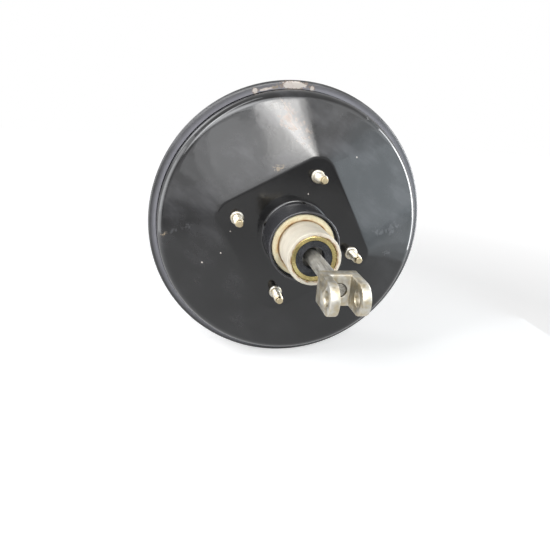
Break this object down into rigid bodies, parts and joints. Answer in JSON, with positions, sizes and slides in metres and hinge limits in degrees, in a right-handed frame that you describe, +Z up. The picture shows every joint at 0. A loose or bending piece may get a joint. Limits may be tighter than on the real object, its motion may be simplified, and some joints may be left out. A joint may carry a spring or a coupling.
{
  "type": "brake booster",
  "caption": "Single-diaphragm vacuum brake booster in a crimped steel housing, with firewall studs, sliding valve body, pedal clevis, output rod and one-way vacuum valve",
  "frame": {"origin": "centre of the firewall mounting face, on the booster's axis", "axes": "+Y along the axis from the pedal to the engine, so the pedal side faces -Y; +Z up; +X to the right seen from the pedal"},
  "size_m": [0.267, 0.303, 0.267],
  "materials": {
    "black_paint": "gloss black stove enamel on pressed steel",
    "plain_steel": "bare mill steel",
    "zinc_steel": "dull zinc plate with a yellow cast",
    "grey_steel": "grey phosphated steel",
    "yellow_zinc": "olive-yellow passivated zinc",
    "spring_steel": "oiled spring wire",
    "yellowed_nylon": "yellowed nylon",
    "cream_plastic": "cream moulded plastic, aged",
    "black_plastic": "black moulded plastic",
    "black_rubber": "black rubber",
    "filter_foam": "black filter foam"
  },
  "bodies": {
    "housing": {"rear_shell": "black_paint", "front_shell": "black_paint", "rear_reinforcement_plate": "plain_steel", "front_reinforcement_plate": "plain_steel", "firewall_studs": "zinc_steel", "master_cylinder_studs": "zinc_steel", "guide_ring": "yellowed_nylon", "neck_seal": "black_rubber", "seal_retainer": "plain_steel", "diaphragm": "black_rubber", "return_spring": "spring_steel", "front_seal": "black_rubber", "vacuum_grommet": "black_rubber"},
    "power_piston": {"valve_body": "cream_plastic", "stop_key": "plain_steel", "diaphragm_plate": "plain_steel", "poppet_valve": "black_rubber", "poppet_retainer": "plain_steel", "poppet_spring": "spring_steel", "reaction_disc": "black_rubber", "filter_retainer": "yellow_zinc", "air_filter": "filter_foam", "rod_return_spring": "spring_steel", "output_rod": "plain_steel", "output_adjuster": "zinc_steel", "output_rod_retainer": "plain_steel"},
    "control_plunger": {"valve_plunger": "plain_steel"},
    "pedal_rod": {"input_rod": "grey_steel", "clevis_lock_nut": "zinc_steel", "clevis": "zinc_steel"},
    "check_valve": {"check_valve_body": "black_plastic", "check_valve_cap": "black_plastic", "check_valve_spring": "spring_steel"},
    "check_flap": {"check_valve_disc": "black_rubber"}
  },
  "joints": [
    {"name": "boost_stroke", "type": "slide", "parent": "housing", "child": "power_piston", "axis": [0, 1, 0], "range_m": [0, 0.034], "stiffness_N_per_m": 3000, "springref_m": -0.04, "deforming": ["return_spring", "diaphragm"]},
    {"name": "valve_travel", "type": "slide", "parent": "power_piston", "child": "control_plunger", "axis": [0, 1, 0], "range_m": [0, 0.002], "stiffness_N_per_m": 3000, "springref_m": -0.01, "deforming": ["rod_return_spring"]},
    {"name": "rod_tilt", "type": "hinge", "parent": "control_plunger", "child": "pedal_rod", "pos_m": [0, -0.0165, 0], "axis": [1, 0, 0], "range_deg": [-3, 3], "stiffness_Nm_per_rad": 14, "springref_deg": -0.64},
    {"name": "check_swivel", "type": "hinge", "parent": "housing", "child": "check_valve", "pos_m": [-0.043, 0.1094, 0.07448], "axis": [0, 1, 0], "continuous": true},
    {"name": "check_lift", "type": "slide", "parent": "check_valve", "child": "check_flap", "axis": [0, 1, 0], "range_m": [0, 0.0015], "stiffness_N_per_m": 100, "springref_m": -0.005, "deforming": ["check_valve_spring"]}
  ]
}
